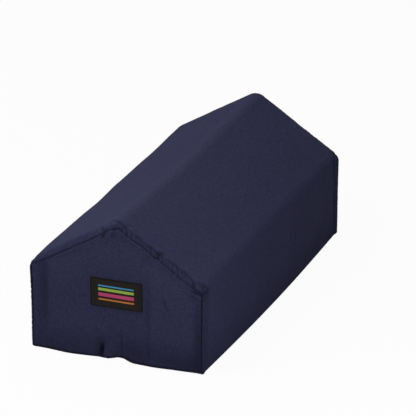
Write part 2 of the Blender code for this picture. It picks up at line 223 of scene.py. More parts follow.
# Creases of the front panel. Columns: x, z, half width, half height, lean and height
PANEL_CREASES = np.array([
    [-0.0178, 0.0085, 0.0029, 0.0110, 0.16, -0.0030],
    [-0.0222, 0.0060, 0.0034, 0.0080, 0.16, -0.0013],
    [-0.0120, 0.0110, 0.0036, 0.0130, 0.00, 0.0018],
    [-0.0285, 0.0080, 0.0065, 0.0110, 0.20, 0.0016],
    [0.0078, 0.0200, 0.0014, 0.0120, 0.06, -0.0010],
    [0.0112, 0.0200, 0.0018, 0.0120, 0.06, 0.0008],
    [0.0430, 0.0190, 0.0022, 0.0130, 0.04, -0.0009],
    [0.0480, 0.0220, 0.0026, 0.0150, 0.04, 0.0008],
    [0.0250, 0.0120, 0.0120, 0.0150, 0.00, -0.0010],
    [0.0720, 0.0080, 0.0180, 0.0130, 0.00, -0.0005],
    [-0.0915, 0.0880, 0.0060, 0.0260, -0.06, -0.0010],
    [-0.0770, 0.0780, 0.0080, 0.0320, -0.06, 0.0009],
    [0.0425, 0.0700, 0.0045, 0.0420, 0.00, -0.0007],
    [0.0505, 0.0700, 0.0055, 0.0440, 0.00, 0.0008],
    [0.0635, 0.0850, 0.0028, 0.0160, -0.35, -0.0006],
    [0.0690, 0.0850, 0.0035, 0.0170, -0.35, 0.0006],
    [0.1036, 0.0380, 0.0064, 0.0580, 0.00, -0.0016],
    [0.0980, 0.0060, 0.0130, 0.0160, 0.00, -0.0012],
    [-0.0930, 0.0480, 0.0080, 0.0280, 0.00, -0.0007],
    [-0.0530, 0.0780, 0.0130, 0.0330, 0.00, 0.0010],
    [-0.0310, 0.0330, 0.0200, 0.0200, 0.00, 0.0009],
    [-0.0030, 0.0080, 0.0080, 0.0130, 0.00, 0.0018],
    [0.0970, 0.0980, 0.0040, 0.0040, 0.80, -0.0009],
    [0.0985, 0.1030, 0.0032, 0.0022, -2.00, -0.0022],
    [0.0965, 0.1000, 0.0040, 0.0030, -2.00, 0.0007],
    [-0.0150, 0.1555, 0.0011, 0.0050, 0.50, -0.0016],
    [-0.0090, 0.1560, 0.0018, 0.0080, 0.10, 0.0008],
    [-0.0030, 0.1580, 0.0013, 0.0080, 0.05, -0.0008],
    [0.0050, 0.1560, 0.0015, 0.0085, -0.10, 0.0008],
])

# The slack of the cloth over the foam
SLACK_STEPS = (2, 4)  # rows and columns of the fine surface to one of the simulated copy
SLACK_CLING = 0.1
SLACK_HELD_BELOW = 0.003  # height under which the cloth stays on the floor
SLACK_FRAMES = 20
SLACK_CLOTH = {
    "quality": 5,
    "mass": 0.2,
    "tension_stiffness": 15.0,
    "compression_stiffness": 15.0,
    "shear_stiffness": 5.0,
    "bending_stiffness": 5.0,
    "air_damping": 2.0,
    "shrink_min": -0.015,
    "shrink_max": -0.015,
    "vertex_group_mass": "held",
    "pin_stiffness": 1.0,
    "use_pressure": True,
    "uniform_pressure_force": 2.0,
}
SLACK_SOFTENING = 10  # passes that find the slow part of the move
SLACK_KEPT, SLACK_CAP = 0.30, 0.0008

# The label, its middle at x and z on the front panel
LABEL_WIDTH, LABEL_HEIGHT = 0.0645, 0.0360
LABEL_X, LABEL_Z = 0.0027, 0.0870
LABEL_TILT = math.radians(1.2)
LABEL_CLOTH = 0.0005
LABEL_TURN = 0.62 * LABEL_CLOTH  # radius of the half turn at each end
LABEL_TURN_UNDER = 0.006
LABEL_GAP = 0.0002
LABEL_COLUMNS, LABEL_ROWS, BEND_STEPS, UNDER_STEPS = 61, 37, 9, 7
# Its stitches
STITCH_INSET, STITCH_MARGIN = 0.0028, 0.002
STITCH_LENGTH, STITCH_PITCH, STITCH_RADIUS = 0.0026, 0.0034, 0.00034
STITCH_RINGS, STITCH_SIDES = 9, 8
STITCH_BLUNTNESS, STITCH_TIP = 6, 0.02  # power that blunts the ends, and the least of their section
STITCH_BOW, STITCH_SINK = 0.0003, 0.0001
STITCH_PRESS, STITCH_PRESS_REACH = 0.00018, 0.0008  # how deep and how wide they press into the label
STITCH_WANDER, WANDER_UP, WANDER_ACROSS = 0.00012, 37.0, 900.0  # how far, and its phase by stitch and side
# Three four-sided faces that fill a ring of eight points
STITCH_CAPS = np.array([[0, 1, 2, 3], [3, 4, 5, 0], [5, 6, 7, 0]])


def smooth(share):
    """An S-curve: 3t squared less 2t cubed, with t held between 0 and 1."""
    share = np.clip(share, 0.0, 1.0)
    return share * share * (3.0 - 2.0 * share)


def bell(distance, reach):
    """A Gaussian: 1 at no distance, and 1/e at its reach."""
    return np.exp(-((distance / reach) ** 2))


def soft_edge(distance, softness):
    """One less a Gaussian of the distance: 0 at an edge, 1 well inside it."""
    return 1.0 - bell(np.maximum(distance, 0.0), softness)


def soft_noise(across, along, cell, seed):
    """Random heights from -1 to 1 on a square lattice of this cell, blended with S-curves between its
    points."""
    count = NOISE_POINTS
    heights = np.random.default_rng(seed).uniform(-1.0, 1.0, (count, count))
    column, row = across / cell + NOISE_OFFSETS[0], along / cell + NOISE_OFFSETS[1]
    left, low = np.floor(column).astype(int), np.floor(row).astype(int)
    aside, above = smooth(column - left), smooth(row - low)
    left, right, low, high = (number % count for number in (left, left + 1, low, low + 1))
    near = heights[left, low] * (1 - aside) + heights[right, low] * aside
    far = heights[left, high] * (1 - aside) + heights[right, high] * aside
    return near * (1 - above) + far * above


def arc_points(corners, corner, share):
    """Points and outward normals on a corner's arc: the centre plus the radius along a normal turned
    evenly from the side before to the side after."""
    before, at, after = corners[corner - 1, :2], corners[corner, :2], corners[(corner + 1) % 5, :2]
    came = (at - before) / np.linalg.norm(at - before)
    goes = (after - at) / np.linalg.norm(after - at)
    turn = math.atan2(came[0] * goes[1] - came[1] * goes[0], came @ goes)
    radius = corners[corner, 2]
    first = np.array([came[1], -came[0]])
    centre = at - came * radius * math.tan(turn / 2) - first * radius
    angle = turn * np.asarray(share)
    cos, sin = np.cos(angle), np.sin(angle)
    normal = np.stack([first[0] * cos - first[1] * sin, first[0] * sin + first[1] * cos], -1)
    return centre + normal * radius, normal


def outline(corners, crowns, position):
    """Points and normals at positions round a section: arcs at the corners, and between them straight
    runs, each pushed out along its normal by its crown times soft edges at its two ends."""
    position = np.asarray(position, float) % ROUND_COLUMNS
    points = np.zeros(position.shape + (2,))
    normals = np.zeros_like(points)
    start = 0
    for corner, kind, first, last, columns in STRETCHES:
        here = (position >= start) & (position <= start + columns)
        share = first + (last - first) * (position[here] - start) / columns
        start += columns
        if kind == "arc":
            points[here], normals[here] = arc_points(corners, corner, share)
            continue
        begin, normal = arc_points(corners, corner, 1.0)
        end, _ = arc_points(corners, (corner + 1) % 5, 0.0)
        length = np.linalg.norm(end - begin)
        full = soft_edge(share * length, SIDE_SOFTNESS)
        full *= soft_edge((1 - share) * length, SIDE_SOFTNESS)
        points[here] = begin + (end - begin) * share[:, None] + normal * (crowns[corner] * full)[:, None]
        normals[here] = normal
    return points, normals


def sloping_at(normals):
    """How much of a slope a side is: 0 on the walls and the base, 1 on the slopes, by an S-curve of its
    normal's height."""
    return smooth(normals[..., 1] / math.cos(SLOPE_TILT))


def by_slope(pair, sloping):
    """The first of a pair of values on the walls and the base, the second on the slopes, and a blend
    between."""
    return pair[0] + (pair[1] - pair[0]) * sloping


def roll_at(normals):
    """How far the cover rolls over the foam's edge, blended by the normal's height from wall to slope and
    from wall to hem."""
    down = smooth(-normals[..., 1])
    return by_slope((WALL_ROLL, SLOPE_ROLL), sloping_at(normals)) + (HEM_ROLL - WALL_ROLL) * down


def folds_at(x, z, folds):
    """The sum of the folds in a table, each a Gaussian hill or hollow in x and z."""
    total = np.zeros_like(x)
    for at_x, at_z, half_width, half_height, out in folds:
        total += out * np.exp(-(((x - at_x) / half_width) ** 2) - ((z - at_z) / half_height) ** 2)
    return total


def end_crown(x, z):
    """The fullness of an end panel: its crown times a soft edge inside each of the five sides."""
    full = np.ones_like(x)
    for corner in range(5):
        at, after = SEAM_CORNERS[corner, :2], SEAM_CORNERS[(corner + 1) % 5, :2]
        along = (after - at) / np.linalg.norm(after - at)
        inside = along[0] * (z - at[1]) - along[1] * (x - at[0])
        full *= soft_edge(inside, END_SOFTNESS)
    return END_CROWN * full


def end_points(x, z, depth, front):
    """Points this far behind an end: its crown and folds push them out, and fade with depth. Then the
    walls draw in, the base spreads at its hems, and the ridge and shoulders settle, as a half sine along
    the length."""
    fade = 1.0 - smooth(depth / FOLD_REACH)
    out = (end_crown(x, z) + folds_at(x, z, FRONT_FOLDS if front else BACK_FOLDS)) * fade
    y = FRONT_LIP + depth - out if front else BACK_LIP - depth + out
    if front:
        gather = ((x - GATHER_X) / GATHER_HALF_WIDTH) ** 2 + (z / GATHER_HALF_HEIGHT) ** 2
        z = z + GATHER_LIFT * np.exp(-gather) * fade
    bow = np.sin(np.pi * np.clip((y - FRONT_LIP) / LIP_LENGTH, 0.0, 1.0))
    down = SHOULDER_SETTLING + SADDLE * bell(x, SADDLE_REACH)
    low = smooth((np.abs(x) - HEM_SPREAD_FROM) / HEM_SPREAD_OVER) * bell(z, HEM_SPREAD_HEIGHT)
    across = x * (1 - WAIST * bow) + np.sign(x) * HEM_SPREAD * low * bow
    return np.stack([across, y, z - down * bow * (z / APEX_HEIGHT) ** 2], -1)


def way_round():
    """How far each column lies round the skin's outline, measured along it, with the whole way round
    last."""
    skin, _ = outline(SKIN_CORNERS, SKIN_CROWNS, np.arange(ROUND_COLUMNS))
    steps = np.linalg.norm(np.diff(np.concatenate([skin, skin[:1]]), axis=0), axis=-1)
    return np.concatenate([[0.0], np.cumsum(steps)])


def way_at(position):
    """How far round the skin's outline a position lies."""
    return np.interp(position % ROUND_COLUMNS, np.arange(ROUND_COLUMNS + 1), way_round())


def seam_line(position):
    """The seam round an end panel: its outline, moved in and out along its normal by a small random
    wander, most on the slopes."""
    points, normals = outline(SEAM_CORNERS, SEAM_CROWNS, position)
    wander = by_slope(SEAM_WANDER, sloping_at(normals))
    return points + normals * (wander * soft_noise(way_at(position), 0.0, *NOISES["seam"]))[..., None]


def half_skin(front):
    """Half of the walls, slopes and base, from a seam to mid-length. Rows go a quarter turn over the
    foam's edge, from the seam's outline to the skin's, then straight back. Returns the points and how far
    each lies from the seam."""
    position = np.arange(ROUND_COLUMNS)
    skin, normals = outline(SKIN_CORNERS, SKIN_CROWNS, position)
    flat_skin, _ = outline(SKIN_CORNERS, (0.0,) * 5, position)
    seam = seam_line(position)
    roll = roll_at(normals)
    step = np.linspace(0.0, 1.0, HALF_ROWS + 1)
    mid = LIP_LENGTH / 2
    gone = (mid * (ROW_START * step + (1 - ROW_START) * step**ROW_POWER))[:, None]
    quarter = roll[None, :] * math.pi / 2
    angle = np.minimum(gone / quarter, 1.0) * math.pi / 2
    behind = roll + (gone - quarter) * (mid - roll) / (mid - quarter)
    depth = np.where(gone < quarter, roll * (1 - np.cos(angle)), behind)
    turned = (1 - np.sin(angle))[..., None]
    full = soft_edge(depth - CROWN_START, SIDE_SOFTNESS) * soft_edge(LIP_LENGTH - depth, SIDE_SOFTNESS)
    at = flat_skin + (skin - flat_skin) * full[..., None]
    at = at * (1 - turned) + seam * turned
    points = end_points(at[..., 0], at[..., 1], depth, front)
    return points, np.broadcast_to(gone, depth.shape)


def end_panel(front):
    """An end panel as square rings about its heart, each scaled out to the seam. Returns the points,
    their distance inside the seam and their place round it."""
    sides = (np.linspace(-1, 1, columns + 1) for columns in (ACROSS_COLUMNS, UP_COLUMNS))
    across, up = np.meshgrid(*sides, indexing="ij")
    ring = np.maximum(np.abs(across), np.abs(up))
    safe = np.maximum(ring, 1e-9)
    low, high = (1 + across / safe) / 2 * ACROSS_COLUMNS, (1 + up / safe) / 2 * UP_COLUMNS
    half = ROUND_COLUMNS // 2
    position = np.select(
        [-up == ring, across == ring, up == ring],
        [low, ACROSS_COLUMNS + high, half + ACROSS_COLUMNS - low],
        ROUND_COLUMNS - high,
    )
    rim = seam_line(position)
    out = (1 - (1 - ring) ** RING_DRAW)[..., None]
    flat = PANEL_HEART + (rim - PANEL_HEART) * out
    inside = np.linalg.norm(rim - flat, axis=-1)
    return end_points(flat[..., 0], flat[..., 1], np.zeros_like(ring), front), inside, position


def grid_faces(index):
    """The four-sided faces between neighbours of a grid of vertex numbers."""
    corners = [index[..., :-1, :-1], index[..., 1:, :-1], index[..., 1:, 1:], index[..., :-1, 1:]]
    return np.stack(corners, -1).reshape(-1, 4)


def make_mesh(name, points, faces, uv=None):
    """A smooth mesh object at the origin from arrays of points, four-sided faces and, where given, a pair
    of thread coordinates for each corner."""
    mesh = bpy.data.meshes.new(name)
    mesh.vertices.add(len(points))
    mesh.vertices.foreach_set("co", np.asarray(points, np.float32).ravel())
    mesh.loops.add(faces.size)
    mesh.loops.foreach_set("vertex_index", faces.astype(np.int32).ravel())
    mesh.polygons.add(len(faces))
    mesh.polygons.foreach_set("loop_start", np.arange(0, faces.size, 4, dtype=np.int32))
    mesh.update(calc_edges=True)
    if uv is not None:
        layer = mesh.uv_layers.new(name="threads")
        layer.data.foreach_set("uv", np.asarray(uv, np.float32).ravel())
    mesh.shade_smooth()
    made = bpy.data.objects.new(name, mesh)
    bpy.context.scene.collection.objects.link(made)
    return made


def read_points(mesh, layer="co"):
    """The points or the vertex normals of a mesh as rows of three numbers."""
    values = np.empty(len(mesh.vertices) * 3, np.float32)
    if layer == "co":
        mesh.vertices.foreach_get("co", values)
    else:
        mesh.vertex_normals.foreach_get("vector", values)
    return values.reshape(-1, 3).astype(float)


def close_up(skin, panels):
    """Joins a skin that goes round and two end panels into one closed surface. Each panel's rim is the
    skin's end row. Returns the points and the faces."""
    rows, columns = skin.shape[:2]
    across, up = panels[0].shape[0] - 1, panels[0].shape[1] - 1
    index = np.arange(rows * columns).reshape(rows, columns)
    points = [skin.reshape(-1, skin.shape[-1])]
    faces = [grid_faces(np.concatenate([index, index[:, :1]], 1))]
    count = rows * columns
    low, high = np.arange(across), np.arange(up)
    rim = np.concatenate([np.stack([low, 0 * low], -1), np.stack([0 * high + across, high], -1)])
    rim = np.concatenate([rim, (across, up) - rim])
    inner = (across - 1, up - 1)
    for panel, row, flip in zip(panels, (0, rows - 1), (1, -1)):
        numbers = np.zeros((across + 1, up + 1), int)
        numbers[1:-1, 1:-1] = count + np.arange(inner[0] * inner[1]).reshape(inner)
        numbers[rim[:, 0], rim[:, 1]] = index[row]
        count += inner[0] * inner[1]
        points.append(panel[1:-1, 1:-1].reshape(-1, skin.shape[-1]))
        faces.append(grid_faces(numbers)[:, ::flip])
    return np.concatenate(points), np.concatenate(faces)


def thread_grid(skin, panels):
    """Thread coordinates in metres for every face corner: the way round and the way along on the skin, x
    and z on an end panel."""
    steps = np.linalg.norm(np.diff(skin[:, 0], axis=0), axis=-1)
    along = np.cumsum(np.concatenate([[0.0], steps]))
    wrapped = np.stack(np.broadcast_arrays(way_round()[None, :], along[:, None]), -1)
    grids = [(wrapped, 1)] + [(panel[..., [0, 2]], flip) for panel, flip in zip(panels, (1, -1))]
    corners = []
    for grid, flip in grids:
        four = np.stack([grid[:-1, :-1], grid[1:, :-1], grid[1:, 1:], grid[:-1, 1:]], 2)
        corners.append(four.reshape(-1, 4, 2)[:, ::flip])
    return np.concatenate(corners).reshape(-1, 2)


def make_cover():
    """The whole cover as one closed surface: two half skins that share their middle row, and an end panel
    within each end row. Each point then moves along its normal by what the sewn cloth does there."""
    halves = [half_skin(True), half_skin(False)]
    skin, gone = (np.concatenate([front, back[-2::-1]]) for front, back in zip(*halves))
    position = np.broadcast_to(np.arange(ROUND_COLUMNS, dtype=float), gone.shape)
    behind = (np.arange(len(skin)) > HALF_ROWS).astype(float)
    at_back = np.broadcast_to(behind[:, None], gone.shape)
    panels, inside, place = zip(*(end_panel(front) for front in (True, False)))
    points, faces = close_up(skin, panels)
    threads = thread_grid(skin, panels)
    ends = zip(inside, place, (0.0, 1.0))
    side = [np.stack([-lie, at, 0 * at + end], -1) for lie, at, end in ends]
    facts, _ = close_up(np.stack([gone, position, at_back], -1), side)
    cover = make_mesh("sewn_cover", points, faces, threads)
    height = slack_of_cloth(skin, panels)
    relieve(cover, *facts.T, height)
    return cover


def spread_weights(count, step, closed):
    """Weights that spread values at every few columns over all columns: the four nearest, by a cubic
    B-spline."""
    fine = count * step if closed else (count - 1) * step + 1
    at = np.arange(fine) / step
    first = np.floor(at).astype(int)
    t = at - first
    shares = [(1 - t) ** 3, 3 * t**3 - 6 * t**2 + 4, -3 * t**3 + 3 * t**2 + 3 * t + 1, t**3]
    weights = np.stack(shares, -1) / 6
    near = first[:, None] + np.arange(-1, 3)
    near = near % count if closed else np.clip(near, 0, count - 1)
    spread = np.zeros((fine, count))
    np.add.at(spread, (np.arange(fine)[:, None], near), weights)
    return spread


def slow_part(grid):
    """A grid of heights softened many times: each pass takes half of a point and a quarter of each
    neighbour, down and then across. The outermost rows and columns keep their neighbours."""
    for _ in range(SLACK_SOFTENING):
        grid = np.pad(grid, 1, mode="edge")
        grid = (grid[:-2] + 2 * grid[1:-1] + grid[2:]) / 4
        grid = (grid[:, :-2] + 2 * grid[:, 1:-1] + grid[:, 2:]) / 4
    return grid


def slack_of_cloth(skin, panels):
    """How far out the cloth stands from its cut shape, point by point. A coarser copy, a little too large
    for the foam, is held at its seams and its base, clings lightly elsewhere, and is filled gently by
    cloth simulation. The move along each normal loses its slow part, which the foam holds back, and what
    is left is lessened, capped, and spread over the fine surface."""
    row_step, step = SLACK_STEPS
    small_skin, small_panels = skin[::row_step, ::step], [panel[::step, ::step] for panel in panels]
    points, faces = close_up(small_skin, small_panels)
    copy = make_mesh("slack_cloth", points, faces)
    out = read_points(copy.data, "normal")
    rows, columns = small_skin.shape[:2]
    held = np.full(len(points), SLACK_CLING)
    held[:columns] = held[(rows - 1) * columns : rows * columns] = 1.0
    held[points[:, 2] < SLACK_HELD_BELOW] = 1.0
    group = copy.vertex_groups.new(name="held")
    for weight in np.unique(held):
        group.add(np.flatnonzero(held == weight).tolist(), float(weight), "REPLACE")
    cloth = copy.modifiers.new("slack", "CLOTH")
    for name, value in SLACK_CLOTH.items():
        setattr(cloth.settings, name, value)
    cloth.settings.effector_weights.gravity = 0.0
    cloth.collision_settings.use_collision = False
    cloth.point_cache.frame_start, cloth.point_cache.frame_end = 1, SLACK_FRAMES
    for frame_number in range(1, SLACK_FRAMES + 1):
        bpy.context.scene.frame_set(frame_number)
    filled = copy.evaluated_get(bpy.context.evaluated_depsgraph_get()).data
    moved = ((read_points(filled) - points) * out).sum(-1)
    bpy.context.scene.frame_set(1)
    bpy.data.objects.remove(copy)
    grids = [moved[: rows * columns].reshape(rows, columns)]
    start = rows * columns
    for small in small_panels:
        grid = np.zeros(small.shape[:2])
        inner = grid[1:-1, 1:-1]
        inner[:] = moved[start : start + inner.size].reshape(inner.shape)
        start += inner.size
        grids.append(grid)
    quick_parts = (grid - slow_part(grid) for grid in grids)
    grids = [SLACK_CAP * np.tanh(SLACK_KEPT * part / SLACK_CAP) for part in quick_parts]
    fine = []
    for number, grid in enumerate(grids):
        down = spread_weights(len(grid), row_step if number == 0 else step, False)
        fine.append(down @ grid @ spread_weights(grid.shape[1], step, number == 0).T)
    slack, _ = close_up(fine[0][..., None], [grid[..., None] for grid in fine[1:]])
    return slack[:, 0]


def hills_at(across, up, table):
    """The sum of the hills and hollows in a table: each is a Gaussian about its place, with its own half
    width, half height, lean and height."""
    total = np.zeros_like(across)
    for at_across, at_up, half_width, half_height, lean, out in table:
        aside = across - at_across - lean * (up - at_up)
        total += out * np.exp(-((aside / half_width) ** 2) - ((up - at_up) / half_height) ** 2)
    return total


def relieve(cover, gone, position, at_back, slack):
    """Moves each point along its normal by the sum of the cloth's slack and swells, the seam's relief, and
    the tucks and creases. gone is the distance from the seam, below 0 on an end panel. What stands out, with
    the seams' painted shade and highlight, is kept for the material, which paints a highlight on raised cloth
    and shade in hollows."""
    mesh = cover.data
    points, normals = read_points(mesh), read_points(mesh, "normal")
    around = way_at(position)
    slow = slack * smooth(np.abs(gone) / QUIET_REACH) + unevenness(points, gone, around)
    seam_height, tone = seam_relief(gone, around, position, at_back)
    tucks = hills_at(around, gone, SKIN_TUCKS)
    creases = hills_at(points[:, 0], points[:, 2], PANEL_CREASES)
    height = slow + seam_height + np.where(gone > 0, tucks, creases) * (1 - at_back)
    on_base = smooth((BASE_LEVEL - points[:, 2]) / BASE_BLEND) * smooth((gone - BASE_FROM) / BASE_OVER)
    height *= 1 - on_base
    points += normals * height[:, None]
    points[:, 2] = np.maximum(points[:, 2], 0.0)
    mesh.vertices.foreach_set("co", points.astype(np.float32).ravel())
    # The material paints a highlight on cloth that stands out and shade in hollows; the seams' painted shade
    # and highlight are added to it
    proud = np.clip(EVEN + (height - slow) / PROUD_SCALE, 0.0, EVEN + PROUD_LIMIT)
    relief_and_painted_light = mesh.attributes.new("relief_and_painted_light", "FLOAT", "POINT")
    relief_and_painted_light.data.foreach_set("value", np.clip(proud + tone, 0.0, 1.0).astype(np.float32))
    mesh.update()


def seam_relief(gone, around, position, at_back):
    """The seam in relief. A valley lies on its line. Behind it the seam allowance makes a low band with a
    soft line along its far edge, and puckers cross the band. Returns the height, and the light and shade
    painted there: painted shade on the band, on its line and beside the left seam, and a painted highlight on
    the crest and where the band lies bare over the ridge."""
    _, normals = outline(SKIN_CORNERS, SKIN_CROWNS, position)
    sloping = sloping_at(normals)
    way = around + at_back * BACK_OFFSET
    strength = np.interp(around, *SEAM_STRENGTH) * (1 - BACK_EASING * at_back)
    bare = bell(around - BARE_WAY, BARE_REACH)
    firm = VALLEY_LEAST + (1 - VALLEY_LEAST) * np.maximum(strength, 1 - sloping)
    rough = VALLEY_UNEVENNESS[0] + VALLEY_UNEVENNESS[1] * strength
    depth = by_slope(VALLEY_DEPTH, sloping) * (1 + rough * soft_noise(way, 0.0, *NOISES["valley"])) * firm
    height = -depth * bell(gone, by_slope(VALLEY_REACH, sloping))
    uneven = soft_noise(way, 0.0, *NOISES["band"])
    reach = np.interp(around, *BAND_REACH) * (1 + by_slope(BAND_UNEVENNESS, sloping) * uneven)
    band = smooth(gone / BAND_START) * (1 - smooth((gone - reach + BAND_EDGE) / (2 * BAND_EDGE)))
    height += by_slope(BAND_HEIGHT, sloping) * band
    line = bell(gone - reach - LINE_OFFSET, by_slope(LINE_REACH, sloping))
    line = line * np.clip(1 + LINE_UNEVENNESS * soft_noise(way, 0.0, *NOISES["line"]), *LINE_SHARES)
    height -= LINE_DEPTH * (LINE_LEAST + (1 - LINE_LEAST) * strength) * line
    height += PUCKER_HEIGHT * strength * (1 - BARE_EASING * bare) * puckers_at(gone, way, reach)
    # Painted shade on the band and its line, turned to a painted highlight where the band lies bare over the
    # ridge
    tone = BAND_SHADE * band * (1 + BAND_SHADE_PATCHINESS * uneven) + LINE_SHADE * line
    tone = tone * by_slope((WALL_SHADE, strength), sloping) * (1 - bare) - BARE_HIGHLIGHT * bare * band
    # A painted highlight along the crest, and painted shade beside the left seam
    crest = bell(around - CREST_WAY, CREST_REACH) * smooth((gone - CREST_FROM) / CREST_OVER)
    left = smooth((around - CREST_WAY - LEFT_FROM) / LEFT_OVER) * sloping
    left *= bell(gone, LEFT_REACH) * (gone > 0)
    return height, CREST_HIGHLIGHT * crest - tone - LEFT_SHADE * left


def puckers_at(gone, way, reach):
    """Slanting puckers as shares of their height: two rows of grooves, each the square of a sine's upper
    half with a wandering phase. They arch over the band and fade into the end panel and the skin."""
    phase = math.tau * way / PUCKER_PITCH + PUCKER_WANDER * soft_noise(way, 0.0, *NOISES["pucker_phase"])
    slant = PUCKER_SLANT * gone / reach
    groove = np.maximum(np.sin(phase + slant), 0) ** 2
    groove += CROSSING_SHARE * np.maximum(np.sin(CROSSING_PITCH * phase - slant), 0) ** 2
    ladder = PUCKER_LEVEL - groove + PUCKER_UNEVENNESS * soft_noise(way, 0.0, *NOISES["pucker"])
    across_band = np.sin(math.pi * np.clip(gone / (PUCKER_OVERRUN * reach), 0, 1)) ** PUCKER_FULLNESS
    into_panel = INTO_PANEL * bell(gone, INTO_PANEL_REACH) * smooth(-gone / INTO_PANEL_START)
    into_skin = INTO_SKIN * bell(gone - reach, INTO_SKIN_REACH) * (gone > reach)
    patchy = 1 + PUCKER_PATCHES * soft_noise(way, gone, *NOISES["patches"])
    return patchy * ladder * (across_band * (gone > 0) + into_panel + into_skin)


def unevenness(points, gone, around):
    """Slow random swells of the cloth over the foam, from centimetres to a hand's width."""
    x, y, z = points.T
    wide = sum(height * soft_noise(around, y, cell, seed) for cell, seed, height in SKIN_SWELLS)
    flat = sum(height * soft_noise(x, z, cell, seed) for cell, seed, height in PANEL_SWELLS)
    grown = SWELL_AT_SEAM + (1 - SWELL_AT_SEAM) * smooth(np.abs(gone) / QUIET_REACH)
    return np.where(gone >= 0, wide, flat) * grown


# Materials. A layer over a colour has its strength and its own colour
WARP_PITCH, WEFT_PITCH = 0.00046, 0.00052
WARP_NAVY, WEFT_NAVY = (0.045, 0.046, 0.110), (0.036, 0.037, 0.094)
DEEP_THREAD = (0.5, (0.030, 0.031, 0.081))
THICK_YARN, YARN_CONTRAST, YARN_SHARE = (0.062, 0.063, 0.142), 3.0, 0.35
DYE_CLOUD = (0.40, (0.050, 0.051, 0.118))
# Painted highlight on cloth that stands out, and painted shade in seams, creases and hollows
RAISED_HIGHLIGHT, HOLLOW_SHADE = (0.7, (0.085, 0.086, 0.170)), (1.3, (0.010, 0.010, 0.026))
# Painted shade near the floor, and the height where it has faded out
FLOOR_SHADE, FLOOR_SHADE_HEIGHT = (0.38, (0.018, 0.018, 0.046)), 0.050
# Painted shade in the gaps between threads
THREAD_GAP_SHADE = (0.35, (0.016, 0.016, 0.040))
FUZZ = 1.2  # what uneven yarn adds to the weave's height
WEFT_TONE_OFFSET = 0.37  # keeps the weft's tones from being the warp's
# Roughness is a share of the dye's noise and a least value. Bumps have a strength and a height
NAVY_ROUGHNESS, LABEL_ROUGHNESS, THREAD_ROUGHNESS = (0.12, 0.82), (0.2, 0.60), (0.2, 0.45)
NAVY_BUMP, LABEL_BUMP = (0.6, 0.00020), (0.5, 0.00012)

LABEL_WARP_PITCH, LABEL_WEFT_PITCH = 0.00022, 0.00034
LABEL_WARP, LABEL_WEFT = (0.0215, 0.0150, 0.0112), (0.0155, 0.0105, 0.0080)
# Plain stripes. Columns: middle height, half height and colour
LABEL_STRIPES = (
    (0.0082, 0.0008, (0.10, 0.54, 0.96)),
    (0.0036, 0.0017, (0.58, 0.88, 0.14)),
    (-0.0030, 0.0023, (0.94, 0.10, 0.30)),
    (-0.0090, 0.0010, (0.98, 0.31, 0.06)),
)
STRIPE_HALF_WIDTH = 0.0225
STRIPE_COVER, WARP_LOSS = 0.92, 0.22  # how well a stripe covers the ground, and what it loses on the warp
SELVEDGE_TOP, SELVEDGE_BOTTOM, SELVEDGE_ACROSS = 0.0157, 0.0168, 0.0309  # from the label's middle
# A black selvedge round the label, wider at the top, where it also holds a painted shadow along the label's
# edge
SELVEDGE_AND_SHADOW = (0.95, (0.0012, 0.0012, 0.0018))
CREASE_ACROSS, CREASE_HALF_WIDTH = 0.0286, 0.0008
# Painted shade in the crease under the stitches
LABEL_CREASE_SHADE = (0.85, (0.0040, 0.0035, 0.0035))
# Painted shade in the gaps between threads
LABEL_GAP_SHADE = (0.35, (0.006, 0.005, 0.004))
THREAD_BLACKS = ((0.006, 0.005, 0.005), (0.016, 0.014, 0.013))


def set_inputs(node, values):
    """Sets a node's named inputs. An underscore in a name stands for a space."""
    for name, value in values.items():
        node.inputs[name.replace("_", " ")].default_value = value


class Net:
    """A node tree that is filled by short calls, each of which adds a node or joins two."""

    def __init__(self, tree):
        self.tree = tree

    def node(self, kind, inputs=(), **settings):
        """A new node with its settings and, from a mapping, its inputs."""
        made = self.tree.nodes.new(kind)
        for name, value in settings.items():
            setattr(made, name, value)
        set_inputs(made, dict(inputs))
        return made

    def link(self, source, target):
        """Joins an output to an input."""
        self.tree.links.new(source, target)

    def put(self, value, socket):
        """Links an output to an input, or sets the input to a number or a colour."""
        if isinstance(value, bpy.types.NodeSocket):
            self.link(value, socket)
        else:
            socket.default_value = (*value, 1.0) if isinstance(value, tuple) else value

    def math(self, operation, *values):
        """The output of a Math node over sockets and numbers."""
        made = self.tree.nodes.new("ShaderNodeMath")
        made.operation = operation
        for socket, value in zip(made.inputs, values):
            self.put(value, socket)
        return made.outputs[0]

    def mix(self, share, first, second):
        """A colour between two, by a share."""
        made = self.node("ShaderNodeMix", data_type="RGBA")
        for number, value in ((0, share), (6, first), (7, second)):
            self.put(value, made.inputs[number])
        return made.outputs[2]

    def lay(self, colour, mask, layer):
        """A layer over a colour: its strength times a mask is the share of its own colour."""
        strength, own = layer
        return self.mix(self.math("MULTIPLY", mask, strength), colour, own)

    def over(self, value, level):
        """How far a value is over a level, or 0. Either may be a number."""
        return self.math("MAXIMUM", self.math("SUBTRACT", value, level), 0.0)


def new_group(name, inputs, outputs):
    """An empty shader node group. An input is a vector, or a number where it has a starting value.
    Outputs are numbers."""
    tree = bpy.data.node_groups.new(name, "ShaderNodeTree")
    for label, start in inputs.items():
        kind = "NodeSocketVector" if start is None else "NodeSocketFloat"
        socket = tree.interface.new_socket(label, in_out="INPUT", socket_type=kind)
        if start is not None:
            socket.default_value = start
    for label in outputs:
        tree.interface.new_socket(label, in_out="OUTPUT", socket_type="NodeSocketFloat")
    net = Net(tree)
    return tree, net, net.node("NodeGroupInput").outputs, net.node("NodeGroupOutput").inputs


